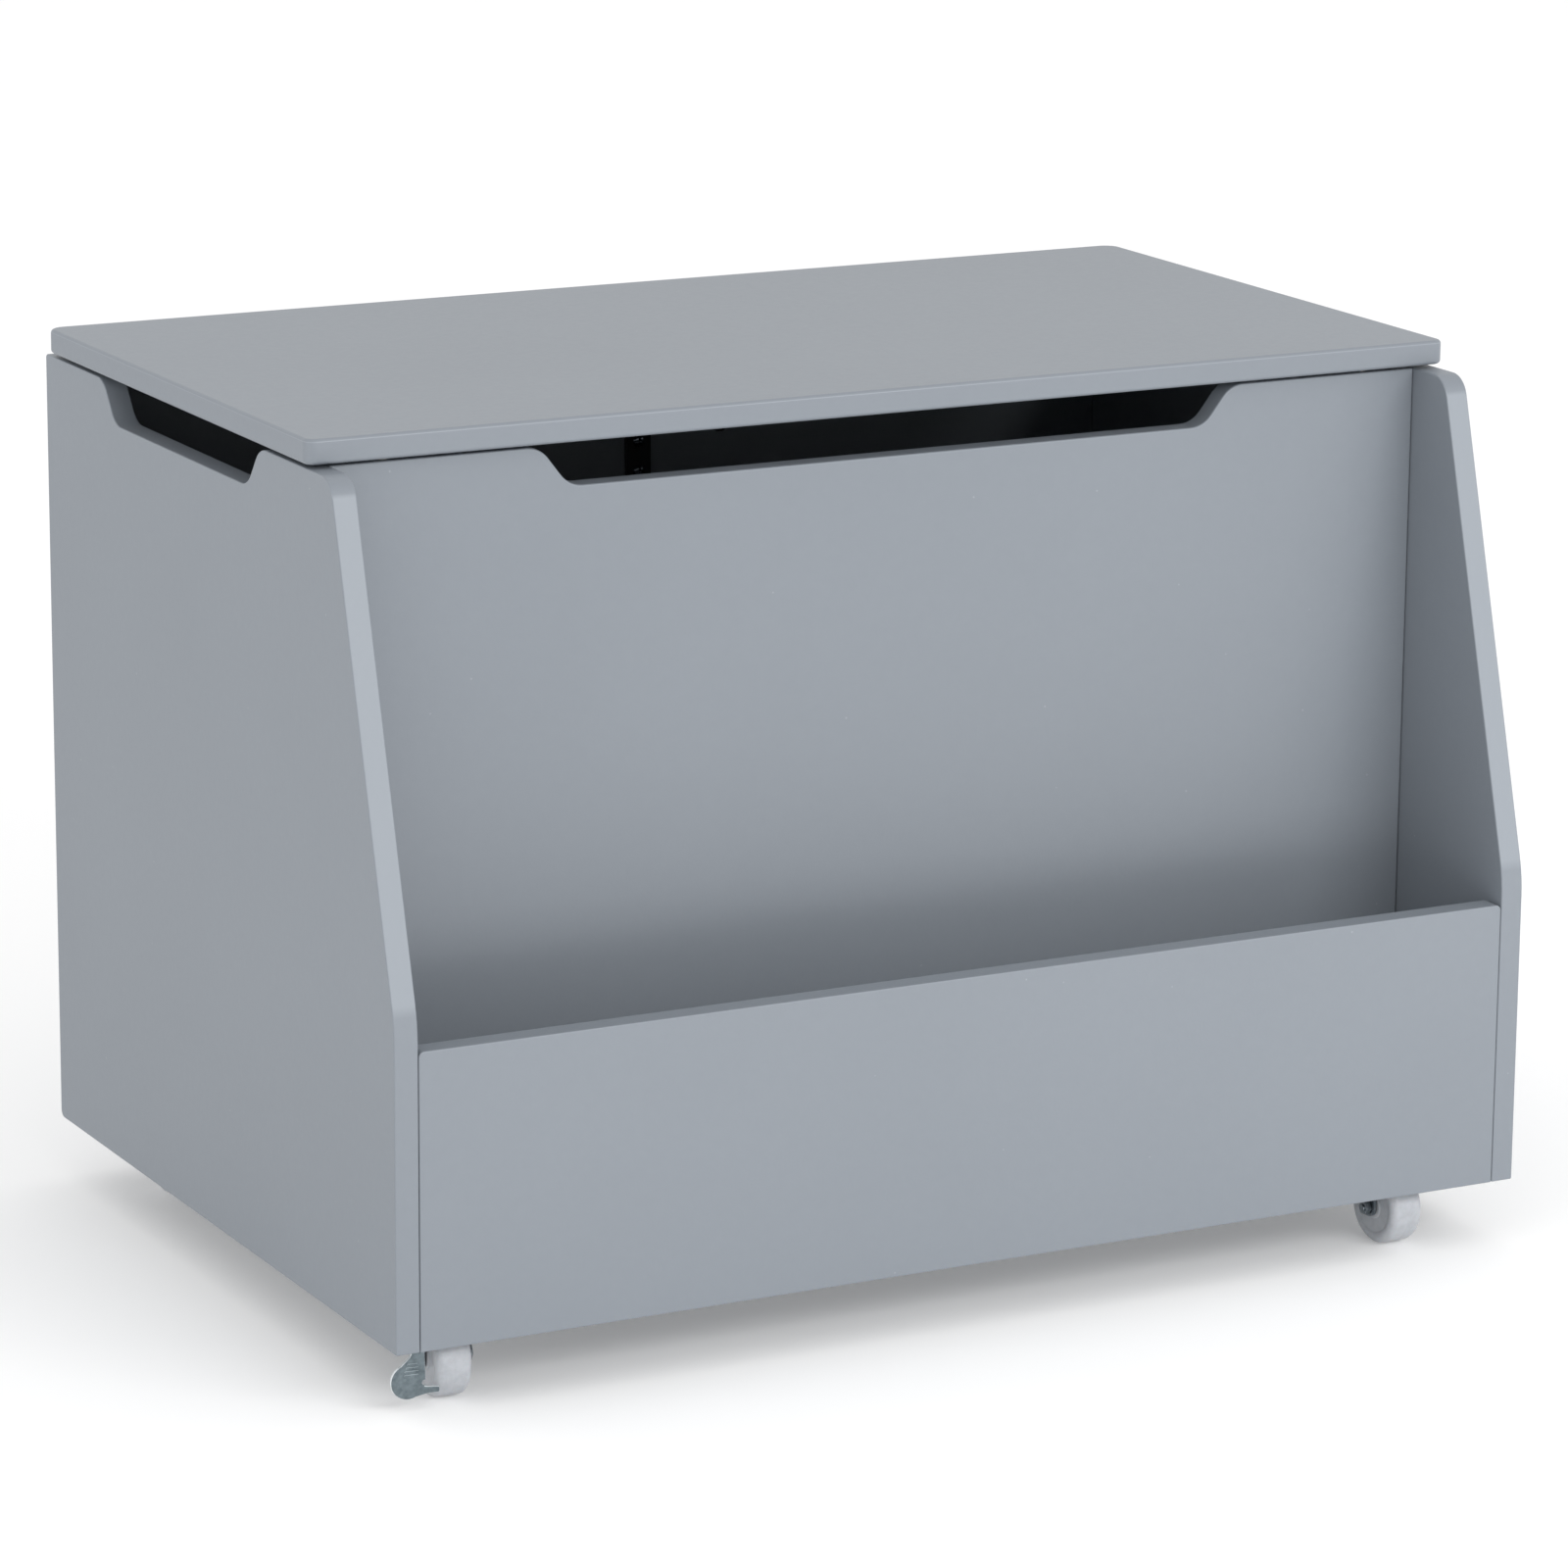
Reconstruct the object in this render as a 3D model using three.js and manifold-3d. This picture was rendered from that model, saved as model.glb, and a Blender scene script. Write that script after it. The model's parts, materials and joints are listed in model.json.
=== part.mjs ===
// Toy box on castors: a painted-board chest with a hinged lid, a low book bin in front,
// a parallel-arm lid stay inside and four swivel castors, two of them with a brake pedal.
// Millimetres, +Z up, front towards -Y, floor at Z = 0.
import * as THREE from 'three';
import { mergeVertices, toCreasedNormals } from 'three/addons/utils/BufferGeometryUtils.js';
import Module from 'manifold-3d';

const wasm = await Module();
wasm.setup();

// ---- driving dimensions -------------------------------------------------------------
const BOARD = 15; // every board's thickness
const GAP = 0.3; // between boards that touch
const BODY_W = 760; // over the side panels
const BODY_D = 522; // side panel, front edge to back edge
const BODY_H = 494; // side panel height
const BIN_H = 178.5; // bin front panel height
const SLOPE_FOOT = 194.9; // height where the side panel's slope starts
const SLOPE_TOP = 82.4; // how far back the slope has run at the top edge
const INNER_Y = 117; // front face of the inner front panel
const FLOOR_Z = 22; // underside of the bottom panel above the side panels' lower edge
const LID = { w: 764.5, front: 109, back: 515.5, lift: 2.6 }; // lift: gap under the lid
const CLEARANCE = 40; // side panels' lower edge above the floor
const SOFT = 1.6; // arris rounding of the boards
const FRONT_NOTCH = { top: 233, bottom: 214, depth: 24.5 }; // half lengths
const SIDE_NOTCH = { y0: 184, y1: 427, foot: 19, depth: 25.5 };
const NOTCH_R = 18; // roundings of every notch corner
const HINGE = { x: 250, y: 525.2, z: 495.3, w: 60, leaf: 0.9, knuckle: 2.8, pin: 1.2 };
const STAY = { x: 22, pivotY: 496, pivotZ: 452, armY: -110, armZ: -10, width: 12, gauge: 2 };
const WHEEL = { r: 23.5, w: 22.5, shoulder: 4.5, trail: 9 };
const CASTOR_H = 61.7; // floor to the top of the castor's plate
const CASTORS = [
  { name: 'front_left', x: -334.8, y: 44.4, heading: -5, pedal: -1 },
  { name: 'front_right', x: 311, y: 44.4, heading: 2, pedal: 0 },
  { name: 'rear_left', x: -325, y: 470, heading: 0, pedal: 0 },
  { name: 'rear_right', x: 325, y: 470, heading: 0, pedal: 1 },
];
const CAM = { in: 24, r: 7.5, depth: 12, bolt: 3 }; // cam-lock fitting
const HALF_W = BODY_W / 2;
const INNER_W = HALF_W - BOARD; // half width between the side panels
const HALF_D = (HINGE.y + HINGE.knuckle) / 2;
const DEG = Math.PI / 180;

// ---- finishes -----------------------------------------------------------------------
const finish = (color, roughness, metalness) =>
  new THREE.MeshStandardMaterial({ color, roughness, metalness });
const PAINT = [0x9fa6ad, 0.5, 0];
const STEEL = [0xb9bcbe, 0.35, 1];
const BLACK = [0x17181a, 0.45, 0.6];
const NYLON = [0xd9dcde, 0.4, 0];
const RUBBER = [0xdedfdc, 0.6, 0];

// ---- geometry helpers ---------------------------------------------------------------
const V = (x, y) => new THREE.Vector2(x, y);
const move = (g, x, y, z) => g.translate(x, y, z);
const basis = (g, ax, ay, az) => g.applyMatrix4(new THREE.Matrix4().makeBasis(ax, ay, az));
const X = new THREE.Vector3(1, 0, 0);
const Y = new THREE.Vector3(0, 1, 0);
const Z = new THREE.Vector3(0, 0, 1);
const NY = new THREE.Vector3(0, -1, 0);

// Points of one rounded corner at p, between its neighbours a and b.
function corner(a, p, b, r, step = 15) {
  if (!r) return [p];
  const u = a.clone().sub(p).normalize();
  const v = b.clone().sub(p).normalize();
  const half = Math.acos(THREE.MathUtils.clamp(u.dot(v), -1, 1)) / 2;
  const mid = p.clone().add(u.clone().add(v).normalize().multiplyScalar(r / Math.sin(half)));
  const start = p.clone().addScaledVector(u, r / Math.tan(half)).sub(mid);
  const end = p.clone().addScaledVector(v, r / Math.tan(half)).sub(mid);
  const from = start.angle();
  let turn = end.angle() - from;
  if (turn > Math.PI) turn -= 2 * Math.PI;
  if (turn < -Math.PI) turn += 2 * Math.PI;
  const n = Math.max(2, Math.ceil(Math.abs(turn) / (step * DEG)));
  return Array.from({ length: n + 1 }, (_, i) => {
    const t = from + (turn * i) / n;
    return V(mid.x + r * Math.cos(t), mid.y + r * Math.sin(t));
  });
}

// Closed outline from [x, y, radius] corners.
function outline(corners, step) {
  const p = corners.map(([x, y]) => V(x, y));
  const n = p.length;
  return new THREE.Shape(
    corners.flatMap(([, , r], i) => corner(p[(i + n - 1) % n], p[i], p[(i + 1) % n], r, step)),
  );
}

const rect = (x0, y0, x1, y1, r = 0, step = 22.5) =>
  outline([[x0, y0, r], [x1, y0, r], [x1, y1, r], [x0, y1, r]], step);

// Prism of a shape between local z = 0 and t, with its arrises rounded by soft.
function prism(shape, t, soft = 0, segments = 2) {
  const g = new THREE.ExtrudeGeometry(shape, {
    depth: t - 2 * soft, steps: 1, curveSegments: 1, bevelEnabled: soft > 0,
    bevelThickness: soft, bevelSize: soft, bevelOffset: -soft, bevelSegments: segments,
  });
  return move(g, 0, 0, soft);
}

const alongX = (shape, x, t, soft, n) => move(basis(prism(shape, t, soft, n), Y, Z, X), x, 0, 0);
const alongY = (shape, y, t, soft, n) =>
  move(basis(prism(shape, t, soft, n), X, Z, NY), 0, y + t, 0);
const alongZ = (shape, z, t, soft, n) => move(prism(shape, t, soft, n), 0, 0, z);
const block = (x0, x1, y0, y1, z0, z1) => alongZ(rect(x0, y0, x1, y1), z0, z1 - z0);

const disc = (r, sides, phase = 0) =>
  new THREE.Shape(Array.from({ length: sides }, (_, i) => {
    const t = ((i + phase) / sides) * 2 * Math.PI;
    return V(r * Math.cos(t), r * Math.sin(t));
  }));
const rodX = (r, x0, x1, y, z, sides = 16) => move(alongX(disc(r, sides), x0, x1 - x0), 0, y, z);
const rodY = (r, y0, y1, x, z, sides = 16) => move(alongY(disc(r, sides), y0, y1 - y0), x, 0, z);
const rodZ = (r, z0, z1, x, y, sides = 16) => move(alongZ(disc(r, sides), z0, z1 - z0), x, y, 0);

function toSolid(geometry) {
  const bare = new THREE.BufferGeometry();
  bare.setAttribute('position', geometry.getAttribute('position').clone());
  if (geometry.index) bare.setIndex(geometry.index.clone());
  const g = mergeVertices(bare, 1e-4);
  const vertProperties = new Float32Array(g.attributes.position.array);
  const triVerts = new Uint32Array(g.index.array);
  return new wasm.Manifold(new wasm.Mesh({ numProp: 3, vertProperties, triVerts }));
}

// The first geometries joined, less the second ones.
function carve(add, cut = []) {
  const list = [].concat(add);
  let solid = toSolid(list[0]);
  for (const g of list.slice(1)) solid = solid.add(toSolid(g));
  for (const g of cut) solid = solid.subtract(toSolid(g));
  const mesh = solid.getMesh();
  const g = new THREE.BufferGeometry();
  g.setAttribute('position', new THREE.BufferAttribute(new Float32Array(mesh.vertProperties), 3));
  g.setIndex(new THREE.BufferAttribute(new Uint32Array(mesh.triVerts), 1));
  return g;
}

const group = new THREE.Group();
group.name = 'toy_box';
function part(name, geometry, look) {
  const g = geometry.clone();
  g.translate(0, -HALF_D, CLEARANCE);
  const mesh = new THREE.Mesh(toCreasedNormals(g, 35 * DEG), finish(...look));
  mesh.name = name;
  group.add(mesh);
}

// ---- joinery: where each cam and its bolt sit ------------------------------------------
// face: the board face the cam is let into; into: +1 when the pocket runs towards +Y.
const CAMS = [
  { name: 'back', face: BODY_D - BOARD, into: 1, z: 300 },
  { name: 'inner', face: INNER_Y + BOARD, into: -1, z: 250 },
  { name: 'bin', face: BOARD, into: -1, z: 120 },
];
const camY = (c) => c.face + c.into * (BOARD / 2);
const pocketSpan = (c, a, b) => (c.into > 0 ? [c.face + a, c.face + b] : [c.face - b, c.face - a]);
function camPockets(c) {
  const [y0, y1] = pocketSpan(c, -1, CAM.depth + 0.5);
  return [-1, 1].flatMap((side) => {
    const x = side * (INNER_W - GAP - CAM.in);
    const ends = [x, side * (INNER_W + 1)].sort((a, b) => a - b);
    return [rodY(CAM.r + 0.3, y0, y1, x, c.z, 24), rodX(3.7, ...ends, camY(c), c.z, 12)];
  });
}
const boltHoles = (side) => CAMS.map((c) => {
  const ends = [side * (INNER_W - 1), side * (INNER_W + 11.5)].sort((a, b) => a - b);
  return rodX(CAM.bolt + 0.3, ...ends, camY(c), c.z, 12);
});

// ---- carcass --------------------------------------------------------------------------
const n = SIDE_NOTCH;
const sideShape = outline([
  [0, 0, 2], [BODY_D, 0, 5], [BODY_D, BODY_H, 2.5],
  [n.y1, BODY_H, NOTCH_R], [n.y1 - n.foot, BODY_H - n.depth, NOTCH_R],
  [n.y0 + n.foot, BODY_H - n.depth, NOTCH_R], [n.y0, BODY_H, NOTCH_R],
  [SLOPE_TOP, BODY_H, 16], [0, SLOPE_FOOT, 90],
], 12);
const sidePanel = (side) => carve(
  alongX(sideShape, side < 0 ? -HALF_W : INNER_W, BOARD, SOFT), boltHoles(side));
part('left_side_panel', sidePanel(-1), PAINT);
part('right_side_panel', sidePanel(1), PAINT);

const half = INNER_W - GAP;
part('back_panel', carve(alongY(rect(-half, 0, half, BODY_H), BODY_D - BOARD, BOARD, 0.8, 1),
  camPockets(CAMS[0])), PAINT);

const f = FRONT_NOTCH;
const innerFront = outline([
  [-half, FLOOR_Z + BOARD + GAP, 0], [half, FLOOR_Z + BOARD + GAP, 0], [half, BODY_H, 0],
  [f.top, BODY_H, NOTCH_R], [f.bottom, BODY_H - f.depth, NOTCH_R],
  [-f.bottom, BODY_H - f.depth, NOTCH_R], [-f.top, BODY_H, NOTCH_R], [-half, BODY_H, 0],
], 9);
part('inner_front_panel', carve(alongY(innerFront, INNER_Y, BOARD, 1, 1),
  camPockets(CAMS[1])), PAINT);

const binFront = outline([[-half, 0, 0], [half, 0, 0], [half, BIN_H, 3.5], [-half, BIN_H, 3.5]]);
part('bin_front_panel', carve(alongY(binFront, 0, BOARD, SOFT), camPockets(CAMS[2])), PAINT);
part('bottom_panel', alongZ(rect(-half, BOARD + GAP, half, BODY_D - BOARD - GAP), FLOOR_Z, BOARD),
  PAINT);

for (const c of CAMS) {
  for (const [label, side] of [['left', -1], ['right', 1]]) {
    const x = side * (INNER_W - GAP - CAM.in);
    const [y0, y1] = pocketSpan(c, 0.2, CAM.depth + 0.2);
    const reach = [x - side * 1, x + side * 9].sort((a, b) => a - b);
    const slotY = c.into > 0 ? [y0 - 1, y0 + 1.5] : [y1 - 1.5, y1 + 1];
    part(`cam_${c.name}_${label}`, carve(rodY(CAM.r, y0, y1, x, c.z, 24), [
      rodX(3.7, ...reach, camY(c), c.z, 12),
      block(x - 5, x + 5, ...slotY, c.z - 0.8, c.z + 0.8),
      block(x - 0.8, x + 0.8, ...slotY, c.z - 5, c.z + 5),
    ]), STEEL);
    const bolt = [x + side * 1.5, side * (INNER_W + 11)].sort((a, b) => a - b);
    part(`cam_bolt_${c.name}_${label}`, rodX(CAM.bolt, ...bolt, camY(c), c.z, 12), STEEL);
  }
}

// ---- lid, its bumpers and its two hinges -------------------------------------------------
const lidZ = BODY_H + LID.lift;
const lidHalf = LID.w / 2;
const lidShape = outline([
  [-lidHalf, LID.front, 7], [lidHalf, LID.front, 7], [lidHalf, LID.back, 11],
  [-lidHalf, LID.back, 11],
], 15);
part('lid_panel', alongZ(lidShape, lidZ, BOARD, 2.2, 2), PAINT);
for (const [label, side] of [['left', -1], ['right', 1]]) {
  const bumper = rodZ(4, BODY_H + GAP, lidZ - GAP, side * 330, INNER_Y + BOARD / 2, 20);
  part(`bumper_${label}`, bumper, RUBBER);
}

const knuckleHole = (x0, x1) => rodX(HINGE.pin + 0.4, x0, x1, HINGE.y, HINGE.z, 16);
const knuckle = (x0, x1) => rodX(HINGE.knuckle, x0, x1, HINGE.y, HINGE.z, 16);
for (const [label, side] of [['left', -1], ['right', 1]]) {
  const x0 = side * HINGE.x - HINGE.w / 2;
  const x1 = x0 + HINGE.w;
  const [a, b] = [x0 + HINGE.w / 3, x1 - HINGE.w / 3];
  const boxZ = BODY_H + 0.25;
  const boxLeaf = block(x0, x1, 508, HINGE.y - 1, boxZ, boxZ + HINGE.leaf);
  part(`hinge_${label}_box_leaf`, carve([boxLeaf, knuckle(x0, a), knuckle(b, x1)], [
    block(a - 0.01, b + 0.01, HINGE.y - 3.3, HINGE.y + 4, HINGE.z - 5, HINGE.z + 5),
    knuckleHole(x0 - 1, x1 + 1),
  ]), BLACK);
  const lidLeafTop = lidZ - 0.25;
  const lidLeaf = block(x0, x1, 490, HINGE.y - 1, lidLeafTop - HINGE.leaf, lidLeafTop);
  const c = 0.4;
  part(`hinge_${label}_lid_leaf`, carve([lidLeaf, knuckle(a + c, b - c)], [
    block(x0 - 1, a + c, HINGE.y - 3.3, HINGE.y + 4, HINGE.z - 5, HINGE.z + 5),
    block(b - c, x1 + 1, HINGE.y - 3.3, HINGE.y + 4, HINGE.z - 5, HINGE.z + 5),
    knuckleHole(x0 - 1, x1 + 1),
  ]), BLACK);
  part(`hinge_${label}_pin`, rodX(HINGE.pin, x0 - 1, x1 + 1, HINGE.y, HINGE.z, 12), STEEL);
}

// ---- lid stay: a parallelogram of two arms with the box and the lid ------------------------
// The arm stays parallel to the line from the hinge to the lid bracket's rivet.
const P1 = { y: STAY.pivotY, z: STAY.pivotZ };
const PM = { y: P1.y + STAY.armY, z: P1.z + STAY.armZ };
const P2 = { y: HINGE.y + STAY.armY, z: HINGE.z + STAY.armZ };
const RIVET = { r: 2, hole: 2.4, head: 3.6 };

function link(a, b, x) {
  const dir = V(b.y - a.y, b.z - a.z);
  const side = dir.clone().normalize().multiplyScalar(STAY.width / 2);
  const turn = (s, t) => [a.y + dir.x * t - s * side.y, a.z + dir.y * t + s * side.x];
  const end = STAY.width / 2 / dir.length();
  const r = STAY.width / 2 - 0.01;
  const shape = outline([
    [...turn(-1, -end), r], [...turn(-1, 1 + end), r], [...turn(1, 1 + end), r],
    [...turn(1, -end), r],
  ], 22.5);
  const hole = (p) => rodX(RIVET.hole, x - 1, x + STAY.gauge + 1, p.y, p.z, 16);
  return carve(alongX(shape, x, STAY.gauge), [hole(a), hole(b)]);
}
function rivet(p, x0, x1) {
  return carve([
    rodX(RIVET.r, x0, x1, p.y, p.z, 14), rodX(RIVET.head, x0, x0 + 1, p.y, p.z, 14),
    rodX(RIVET.head, x1 - 1, x1, p.y, p.z, 14),
  ]);
}
const earX = STAY.x - 6.5; // layers across X: bracket ear, arm, link, lid bracket ear
const pitch = 2.5;
const wall = BODY_D - BOARD - GAP; // inner face of the back panel, less the gap
const earShape = outline([
  [wall, P1.z - 12, 0], [wall, P1.z + 9, 0], [P1.y - 7, P1.z + 7, 6], [P1.y - 7, P1.z - 7, 6],
]);
part('stay_base_bracket', carve([
  alongY(rect(STAY.x - 9, P1.z - 72, STAY.x + 9, P1.z + 10, 3), wall - 2, 2),
  alongX(earShape, earX, STAY.gauge),
], [
  rodX(RIVET.hole, earX - 1, earX + 3, P1.y, P1.z, 16),
  rodY(2.3, wall - 4, wall + 1, STAY.x, P1.z - 63.5, 12),
  rodY(2.3, wall - 4, wall + 1, STAY.x, P1.z - 43.5, 12),
]), BLACK);
part('stay_arm', link(P1, PM, earX + pitch), BLACK);
part('stay_link', link(PM, P2, earX + 2 * pitch), BLACK);
const lidEar = outline([
  [P2.y - 14, lidZ - GAP, 0], [P2.y - 6.5, P2.z - 6.5, 6], [P2.y + 6.5, P2.z - 6.5, 6],
  [P2.y + 14, lidZ - GAP, 0],
]);
part('stay_lid_bracket', carve([
  alongX(lidEar, earX + 3 * pitch, STAY.gauge),
  alongZ(rect(earX + 3 * pitch, P2.y - 24, earX + 3 * pitch + 16, P2.y + 24, 3),
    lidZ - GAP - 2, 2),
], [
  rodX(RIVET.hole, earX + 3 * pitch - 1, earX + 3 * pitch + 3, P2.y, P2.z, 16),
  rodZ(2.3, lidZ - 4, lidZ + 1, earX + 3 * pitch + 9, P2.y - 16, 12),
  rodZ(2.3, lidZ - 4, lidZ + 1, earX + 3 * pitch + 9, P2.y + 16, 12),
]), BLACK);
const layers = (k) => [earX + k * pitch - 1.4, earX + (k + 1) * pitch + STAY.gauge + 1.4];
part('stay_rivet_box', rivet(P1, ...layers(0)), STEEL);
part('stay_rivet_elbow', rivet(PM, ...layers(1)), STEEL);
part('stay_rivet_lid', rivet(P2, ...layers(2)), STEEL);

// ---- castors: built with the swivel axis on Z and the wheel trailing towards -Y --------------
const AXLE = { y: -WHEEL.trail, z: WHEEL.r };
const LEG = { in: WHEEL.w / 2 + 1, t: 1.8, top: 54 };

function wheelGeometry() {
  const { r, w, shoulder: s } = WHEEL;
  const h = w / 2;
  const arc = (sign) => Array.from({ length: 4 }, (_, i) => {
    const t = (i / 3) * 90 * DEG;
    return V(r - s + s * Math.sin(t), sign * (h - s + s * Math.cos(t)));
  });
  const points = [V(3, -h), ...arc(-1), ...arc(1).reverse(), V(3, h), V(3, -h)];
  const g = new THREE.LatheGeometry(points, 32);
  return move(basis(g, Z, X, Y), 0, AXLE.y, AXLE.z);
}

function forkGeometry() {
  const { in: gap, t, top } = LEG;
  const leg = outline([
    [12, top + 1, 0], [-13, top + 1, 0], [AXLE.y - 6, AXLE.z + 4, 5], [AXLE.y - 6, AXLE.z - 6, 5.9],
    [AXLE.y + 6, AXLE.z - 6, 5.9], [AXLE.y + 9, AXLE.z + 8, 6],
  ]);
  const plate = alongZ(rect(-gap - t, -13, gap + t, 12, 4), top, 2);
  const cup = rodZ(10, top + 1, top + 2.6, 0, 0, 18);
  return carve([plate, cup, alongX(leg, gap, t), alongX(leg, -gap - t, t)], [
    rodX(2.9, -20, 20, AXLE.y, AXLE.z, 12), rodZ(3.5, top - 1, top + 4, 0, 0, 12),
  ]);
}

function castorPlate() {
  const hole = (x, y) => rodZ(2.2, CASTOR_H - 3, CASTOR_H + 1, x, y, 8);
  return carve([
    alongZ(rect(-19, -26, 19, 26, 5), CASTOR_H - 2, 2),
    rodZ(13, CASTOR_H - 4.6, CASTOR_H - 1, 0, 0, 20),
  ], [
    rodZ(3.5, 50, 70, 0, 0, 12),
    ...[-1, 1].flatMap((i) => [hole(i * 13.5, -20.5), hole(i * 13.5, 20.5)]),
  ]);
}

const kingpin = () => carve([
  rodZ(3, LEG.top - 2.6, CASTOR_H - 0.4, 0, 0, 12), rodZ(6, LEG.top - 3.4, LEG.top - 0.4, 0, 0, 16),
]);
function axle() {
  const out = LEG.in + LEG.t + 0.3;
  return carve([
    rodX(2.4, -out - 5, out + 3.4, AXLE.y, AXLE.z, 12),
    rodX(5.4, out, out + 3.4, AXLE.y, AXLE.z, 6), rodX(4.6, -out - 4, -out, AXLE.y, AXLE.z, 6),
  ]);
}

// Brake pedal: a stamped round pad in front of the wheel, on a neck that hangs from a barrel
// beside the fork, with a tongue that closes on the tread.
const PIVOT = { y: -10, z: 36.3, r: 3.1 };
const PAD = { x: 29.4, y: -35, z: 19, r: 10.6, t: 2 };
const barrelX = (s) => [s * (LEG.in + LEG.t + 0.5), s * 28].sort((a, b) => a - b);
function pedalGeometry(s) {
  const neck = outline([
    [s * 19.6, 39.4, 1.5], [s * 27.4, 39.4, 1.5], [s * 27.4, 34.5, 5], [s * 34.5, 28, 0],
    [s * PAD.x, PAD.z, 0], [s * 18.8, 20.5, 0],
  ], 22.5);
  const tongue = outline([
    [s * 10.3, 10.6, 1.2], [s * 10.3, 14.1, 1.2], [s * 20, 15.4, 0], [s * 26, 15.4, 0],
    [s * 26, 9.2, 0], [s * 17, 10.8, 0],
  ], 22.5);
  const pad = move(alongY(disc(PAD.r, 36), PAD.y, PAD.t), s * PAD.x, 0, PAD.z);
  const arm = [s * 20.4, s * 26.6].sort((a, b) => a - b);
  return carve([
    pad, alongY(neck, PAD.y, PAD.t), alongY(tongue, PAD.y, PAD.t),
    rodX(PIVOT.r, ...barrelX(s), PIVOT.y, PIVOT.z, 18),
    block(...arm, PAD.y + 1, PIVOT.y - 2.4, PIVOT.z - 1, PIVOT.z + 1.8),
  ], [
    rodX(1.9, -30, 30, PIVOT.y, PIVOT.z, 14),
    rodY(1.8, PAD.y - 1, PAD.y + PAD.t + 1, s * 19.4, 17.6, 14),
  ]);
}
const pedalPin = (s) => rodX(1.5, ...[s * (LEG.in + LEG.t + 0.3), s * 29].sort((a, b) => a - b),
  PIVOT.y, PIVOT.z, 12);

for (const c of CASTORS) {
  const place = (g) => move(g.rotateZ(c.heading * DEG), c.x, c.y, -CLEARANCE);
  part(`castor_${c.name}_plate`, place(castorPlate()), STEEL);
  part(`castor_${c.name}_kingpin`, place(kingpin()), STEEL);
  part(`castor_${c.name}_fork`, place(forkGeometry()), STEEL);
  part(`castor_${c.name}_wheel`, place(wheelGeometry()), NYLON);
  part(`castor_${c.name}_axle`, place(axle()), STEEL);
  if (c.pedal) {
    part(`castor_${c.name}_pedal`, place(pedalGeometry(c.pedal)), STEEL);
    part(`castor_${c.name}_pedal_pin`, place(pedalPin(c.pedal)), STEEL);
  }
}

export default group;
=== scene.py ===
"""Looks of the toy box on castors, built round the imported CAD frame."""

import json
import math

import bmesh
import bpy
from mathutils import Matrix, Vector


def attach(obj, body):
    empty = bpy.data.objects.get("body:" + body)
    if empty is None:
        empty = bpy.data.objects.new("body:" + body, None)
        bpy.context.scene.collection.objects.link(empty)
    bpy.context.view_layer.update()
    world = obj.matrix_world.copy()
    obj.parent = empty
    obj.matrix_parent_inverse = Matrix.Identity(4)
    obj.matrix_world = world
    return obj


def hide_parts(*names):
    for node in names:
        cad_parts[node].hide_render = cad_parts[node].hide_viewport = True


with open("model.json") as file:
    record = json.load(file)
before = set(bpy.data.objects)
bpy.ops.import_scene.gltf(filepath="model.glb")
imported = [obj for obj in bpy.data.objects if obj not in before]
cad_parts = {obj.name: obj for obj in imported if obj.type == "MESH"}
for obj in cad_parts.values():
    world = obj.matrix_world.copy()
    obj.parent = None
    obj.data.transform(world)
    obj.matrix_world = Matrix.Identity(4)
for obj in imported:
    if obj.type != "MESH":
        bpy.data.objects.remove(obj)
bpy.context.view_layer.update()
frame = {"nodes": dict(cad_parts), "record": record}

# ---- dimensions ------------------------------------------------------------------------------
# Millimetres: x from the middle, y from the bin's front going back, z from the lower edge of
# the side panels. to_object() turns them into the frame's metres.
MM = 0.001
HALF_D = 264.0
CLEARANCE = 40.0
SHIFT = Vector((0, -HALF_D, CLEARANCE))
SIDES = (("left", -1), ("right", 1))

BOARD = 15.0
GAP = 0.3
HALF_W = 380.0
INNER_W = HALF_W - BOARD
HALF = INNER_W - GAP
BODY_D = 522.0
BODY_H = 494.0
BIN_H = 178.5
INNER_Y = 117.0
FLOOR_Z = 22.0
SLOPE_FOOT_Z, SLOPE_TOP_Y = 194.9, 82.4
LID_Z = 496.6
LID_HALF = 382.25
LID_FRONT, LID_BACK = 109.0, 515.5

# Hand notches: where the floor of each one ends, how far its ends lean out, and its rounding.
SIDE_NOTCH_FRONT, SIDE_NOTCH_BACK, SIDE_NOTCH_Z = 203.0, 408.0, 468.5
INNER_NOTCH_HALF, INNER_NOTCH_Z = 214.0, 469.5
NOTCH_LEAN, NOTCH_R = 19.0, 18.0

# Cam discs: distance from the middle, radius, depth; per board its face, the way in, the height.
CAM_X, CAM_R, CAM_DEEP = HALF - 24.0, 7.5, 12.0
CAM_SITES = {
    "back": (BODY_D - BOARD, 1, 300.0),
    "inner": (INNER_Y + BOARD, -1, 250.0),
    "bin": (BOARD, -1, 120.0),
}
BUMPER_X = 330.0

# Hinges: the middle of each pin, the sizes of leaf, knuckle and pin, the leaves' front edges.
HINGE_X, HINGE_Y, HINGE_Z = 250.0, 525.2, 495.3
HINGE_W, LEAF_T, KNUCKLE_R, PIN_R = 60.0, 0.9, 2.8, 1.2
BOX_LEAF_FRONT, LID_LEAF_FRONT = 508.0, 490.0

# Lid stay: its plane, bar thickness, spacing of the bars, and its three rivets as (y, z).
STAY_X, GAUGE, PITCH = 22.0, 2.0, 2.5
EAR_X = STAY_X - 6.5
RIVET_BOX, RIVET_ELBOW, RIVET_LID = (496.0, 452.0), (386.0, 442.0), (415.2, 485.3)
RIVET_HOLE = 2.4
BACK_FACE = BODY_D - BOARD - GAP

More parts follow.
